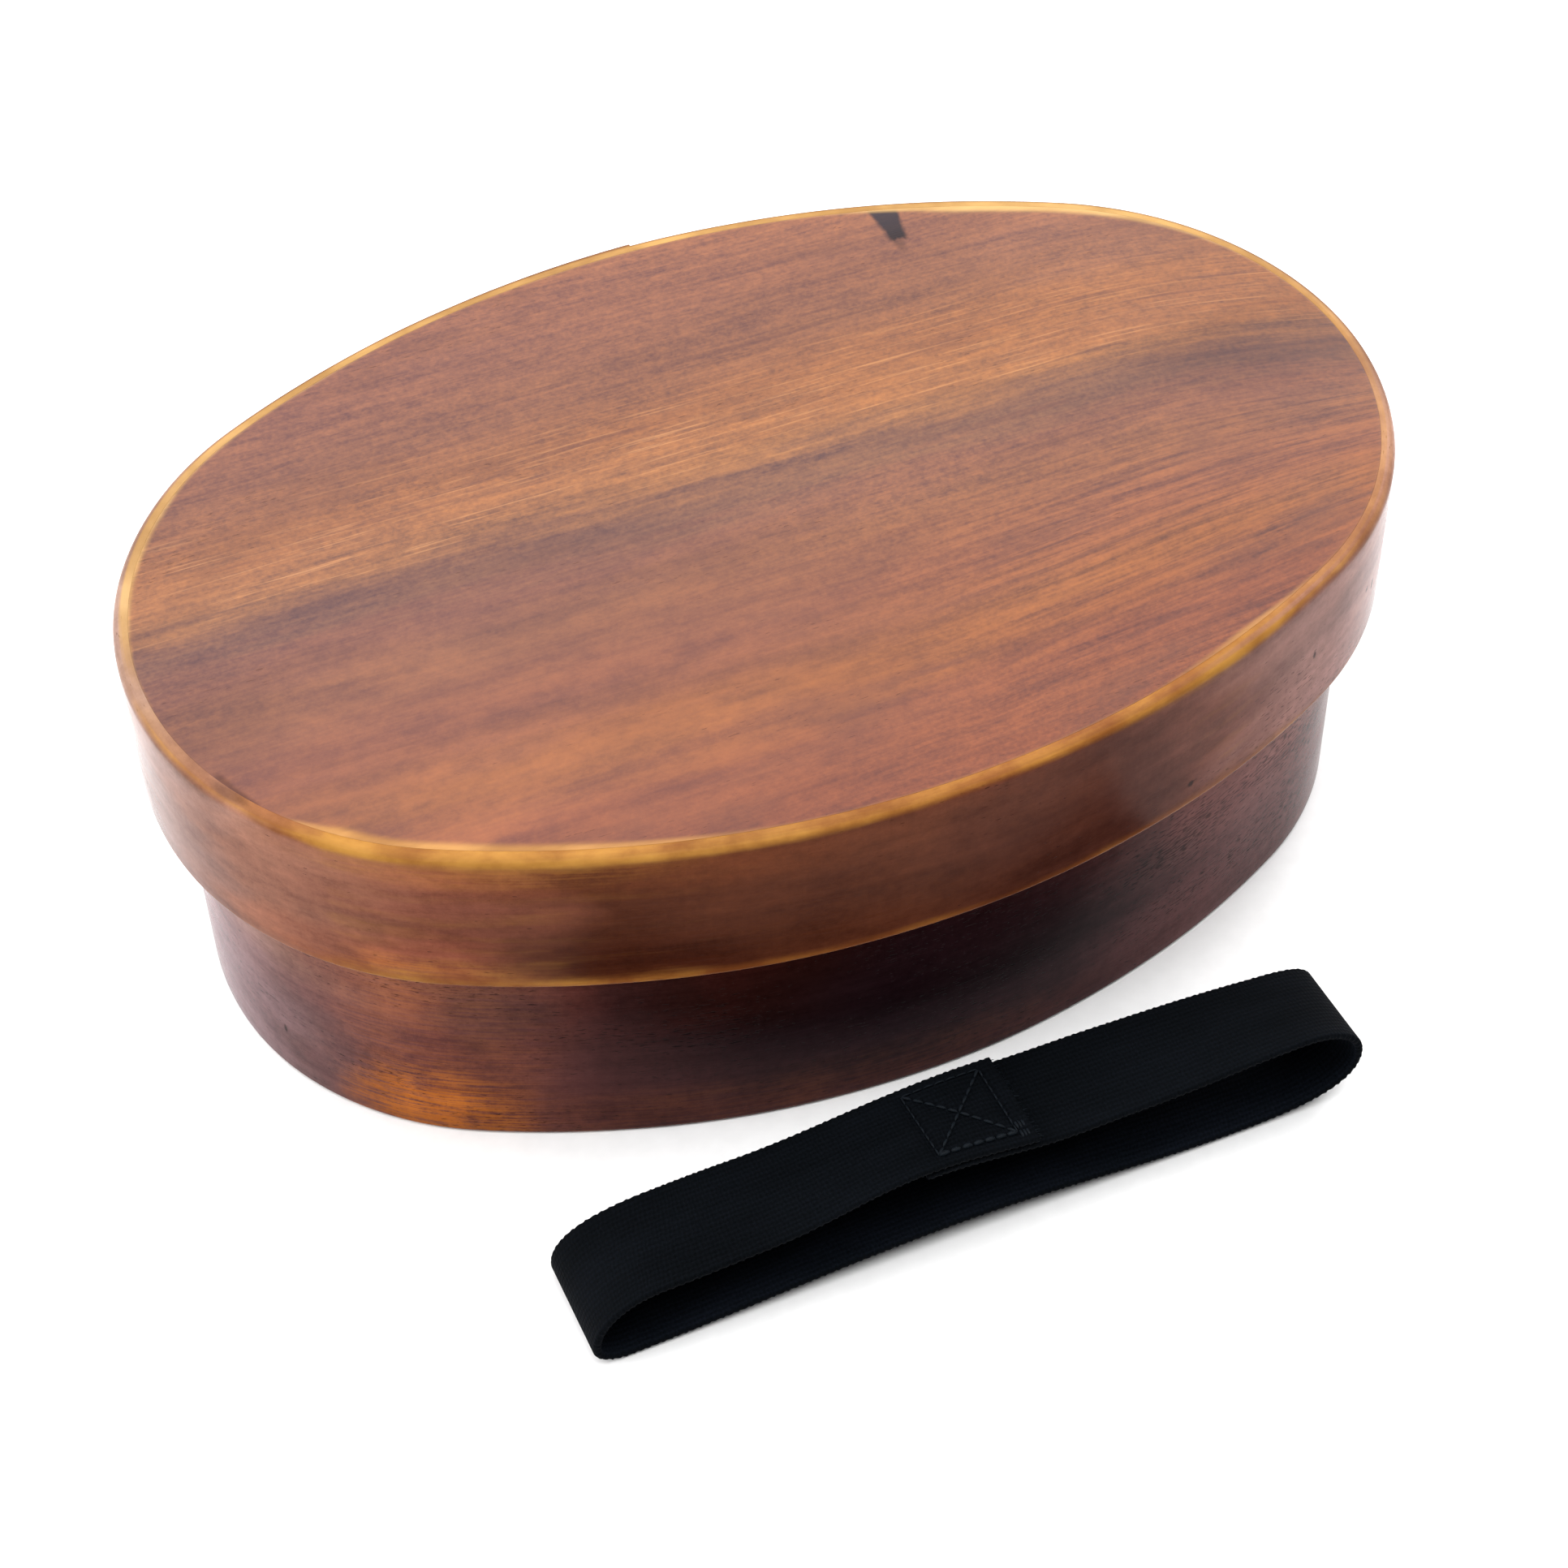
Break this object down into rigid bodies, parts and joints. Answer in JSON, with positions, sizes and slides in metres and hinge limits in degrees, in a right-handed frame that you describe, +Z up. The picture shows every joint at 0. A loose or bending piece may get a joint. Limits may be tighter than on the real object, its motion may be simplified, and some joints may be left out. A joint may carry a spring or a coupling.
{
  "type": "bento box",
  "caption": "Oval bent-wood lunch box in brown wiped lacquer, with a deep cover lid that lifts off, a loose divider inside and a black elastic strap lying in front.",
  "frame": {"origin": "middle of the box's underside, on the table", "axes": "+X along the box, +Y to the back of the box and away from the strap, +Z up"},
  "size_m": [0.19, 0.1503, 0.0655],
  "materials": {
    "body_band": "satin wiped lacquer",
    "bottom_board": "satin wiped lacquer",
    "lid_band": "satin wiped lacquer",
    "lid_board": "satin wiped lacquer",
    "elastic": "woven elastic",
    "thread": "sewing thread"
  },
  "bodies": {
    "box": {"body_side": "body_band", "bottom_panel": "bottom_board"},
    "lid": {"lid_side": "lid_band", "lid_panel": "lid_board"},
    "divider": {"divider": "bottom_board"},
    "strap": {"elastic_strap": "elastic", "strap_stitching": "thread"}
  },
  "joints": [
    {"name": "lid_lift", "type": "slide", "parent": "box", "child": "lid", "axis": [0, 0, 1], "range_m": [0, 0.08]},
    {"name": "divider_slide", "type": "slide", "parent": "box", "child": "divider", "axis": [1, 0, 0], "range_m": [-0.05, 0]},
    {"name": "strap_lift", "type": "slide", "parent": "box", "child": "strap", "axis": [0, 0, 1], "range_m": [0, 0.1]}
  ]
}
